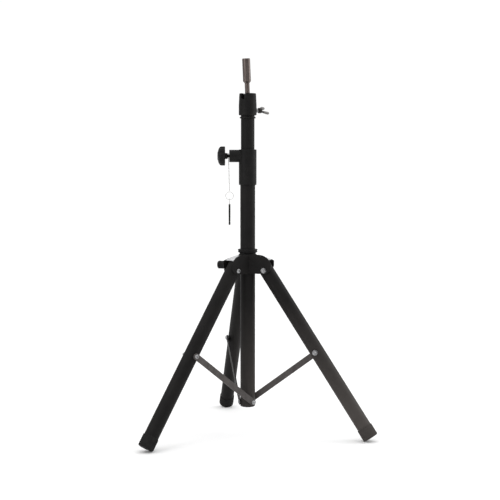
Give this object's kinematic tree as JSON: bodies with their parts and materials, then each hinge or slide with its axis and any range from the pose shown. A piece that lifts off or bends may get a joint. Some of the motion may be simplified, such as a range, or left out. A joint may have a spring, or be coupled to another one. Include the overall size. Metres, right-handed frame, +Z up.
{
  "type": "tripod stand",
  "caption": "Folding tripod stand with a telescopic clamped column, a sliding leg hub with braces, a pin on a chain and a tilting ball stud on top.",
  "frame": {"origin": "point on the floor under the column's axis, between the three feet", "axes": "+Z up along the column, -X towards the column clamp knob, +Y towards the rear leg"},
  "size_m": [0.5382, 0.5197, 0.8798],
  "materials": {
    "powder_black": "satin powder coat",
    "cast_black": "satin coat on die casting",
    "black_plastic": "fine moulded grain",
    "black_rubber": "matt moulded rubber",
    "nylon": "smooth dark nylon",
    "zinc_steel": "bright zinc plate",
    "satin_nickel": "satin turned nickel",
    "wing_metal": "dark nickel plate",
    "brass": "turned brass",
    "chain_nickel": "bright nickel plate",
    "dark_steel": "blackened steel"
  },
  "bodies": {
    "column": {"main_tube": "powder_black", "tube_end_plug": "black_plastic", "tee_collar": "cast_black", "collar_liner": "nylon", "boss_insert": "brass", "collar_rivets": "zinc_steel", "brace_rivets": "zinc_steel"},
    "post": {"upper_tube": "powder_black", "guide_bush": "nylon", "top_cap": "cast_black", "head_body": "cast_black", "ball_seat": "nylon", "head_insert": "zinc_steel"},
    "wing": {"wing_screw": "wing_metal", "wing_shank": "zinc_steel"},
    "stud": {"ball_stud": "satin_nickel", "spigot_screw": "zinc_steel"},
    "spigot": {"spigot_sleeve": "satin_nickel"},
    "pad": {"clamp_pad": "brass"},
    "knob": {"clamp_knob": "black_plastic", "clamp_screw": "dark_steel"},
    "pin_hanger": {"chain_eyelet": "dark_steel", "pin_chain": "chain_nickel", "split_ring": "chain_nickel", "locking_pin": "dark_steel", "pin_eye": "chain_nickel"},
    "hub": {"hub_sleeve": "powder_black", "hub_collar": "black_plastic", "hub_plate_left": "powder_black", "hub_plate_front": "powder_black", "hub_plate_right": "powder_black", "hub_nut": "zinc_steel", "fork_covers": "zinc_steel", "leg_pivot_bolts": "zinc_steel", "leg_pivot_nuts": "zinc_steel"},
    "hub_lock": {"hub_knob": "black_plastic", "hub_knob_screw": "zinc_steel"},
    "leg_rear": {"leg_tube_rear": "powder_black", "leg_plug_rear": "nylon", "foot_cap_rear": "black_rubber", "brace_bolt_rear": "zinc_steel", "brace_nut_rear": "zinc_steel"},
    "leg_left": {"leg_tube_left": "powder_black", "leg_plug_left": "nylon", "foot_cap_left": "black_rubber", "brace_bolt_left": "zinc_steel", "brace_nut_left": "zinc_steel"},
    "leg_right": {"leg_tube_right": "powder_black", "leg_plug_right": "nylon", "foot_cap_right": "black_rubber", "brace_bolt_right": "zinc_steel", "brace_nut_right": "zinc_steel"},
    "brace_rear": {"brace_bar_rear": "powder_black", "brace_head_rear": "zinc_steel"},
    "brace_left": {"brace_bar_left": "powder_black", "brace_head_left": "zinc_steel"},
    "brace_right": {"brace_bar_right": "powder_black", "brace_head_right": "zinc_steel"}
  },
  "joints": [
    {"name": "post_slide", "type": "slide", "parent": "column", "child": "post", "axis": [0, 0, 1], "range_m": [-0.07, 0.4]},
    {"name": "head_tilt", "type": "hinge", "parent": "post", "child": "stud", "pos_m": [0, 0, 0.7875], "axis": [0.829, -0.5592, 0], "range_deg": [-16, 69]},
    {"name": "spigot_spin", "type": "hinge", "parent": "stud", "child": "spigot", "pos_m": [0, 0, 0.7875], "axis": [-0.04, -0.0593, 0.9974], "continuous": true},
    {"name": "wing_turn", "type": "hinge", "parent": "post", "child": "wing", "pos_m": [0.02142, 0.01082, 0.76], "axis": [0.8926, 0.4509, 0], "range_deg": [0, 360]},
    {"name": "clamp_advance", "type": "slide", "parent": "column", "child": "pad", "axis": [-1, 0, 0], "range_m": [0, 0.0019]},
    {"name": "clamp_turn", "type": "hinge", "parent": "pad", "child": "knob", "pos_m": [-0.043, 0, 0.6539], "axis": [-1, 0, 0], "range_deg": [0, 540]},
    {"name": "pin_swing", "type": "hinge", "parent": "column", "child": "pin_hanger", "pos_m": [-0.0447, 0, 0.6539], "axis": [1, 0, 0], "range_deg": [-80, 80]},
    {"name": "hub_slide", "type": "slide", "parent": "column", "child": "hub", "axis": [0, 0, 1], "range_m": [0, 0.11778]},
    {"name": "hub_lock_turn", "type": "hinge", "parent": "hub", "child": "hub_lock", "pos_m": [-0.03309, 0.0114, 0.3973], "axis": [-0.9455, 0.3256, 0], "range_deg": [0, 540]},
    {"name": "leg_fold_rear", "type": "hinge", "parent": "hub", "child": "leg_rear", "pos_m": [-0.00878, 0.04516, 0.388], "axis": [-0.9816, -0.1908, 0], "range_deg": [0, 33.75]},
    {"name": "leg_fold_left", "type": "hinge", "parent": "hub", "child": "leg_left", "pos_m": [-0.03472, -0.03018, 0.388], "axis": [0.6561, -0.7547, 0], "range_deg": [0, 33.75]},
    {"name": "leg_fold_right", "type": "hinge", "parent": "hub", "child": "leg_right", "pos_m": [0.04349, -0.01498, 0.388], "axis": [0.3256, 0.9455, 0], "range_deg": [0, 33.75]},
    {"name": "brace_fold_rear", "type": "hinge", "parent": "column", "child": "brace_rear", "pos_m": [-0.01909, -0.00371, 0.074], "axis": [-0.9816, -0.1908, 0], "range_deg": [-40.71, 0]},
    {"name": "brace_fold_left", "type": "hinge", "parent": "column", "child": "brace_left", "pos_m": [0.01276, -0.01468, 0.074], "axis": [0.6561, -0.7547, 0], "range_deg": [-40.71, 0]},
    {"name": "brace_fold_right", "type": "hinge", "parent": "column", "child": "brace_right", "pos_m": [0.00633, 0.01839, 0.074], "axis": [0.3256, 0.9455, 0], "range_deg": [-40.71, 0]}
  ],
  "couplings": [
    {"joint": "clamp_advance", "follows": "clamp_turn", "m_per_rad": 0.00019894},
    {"joint": "leg_fold_rear", "follows": "hub_slide", "rad_per_m": 4.9937},
    {"joint": "leg_fold_left", "follows": "hub_slide", "rad_per_m": 4.9937},
    {"joint": "leg_fold_right", "follows": "hub_slide", "rad_per_m": 4.9937},
    {"joint": "brace_fold_rear", "follows": "hub_slide", "rad_per_m": -6.0255},
    {"joint": "brace_fold_left", "follows": "hub_slide", "rad_per_m": -6.0255},
    {"joint": "brace_fold_right", "follows": "hub_slide", "rad_per_m": -6.0255}
  ]
}
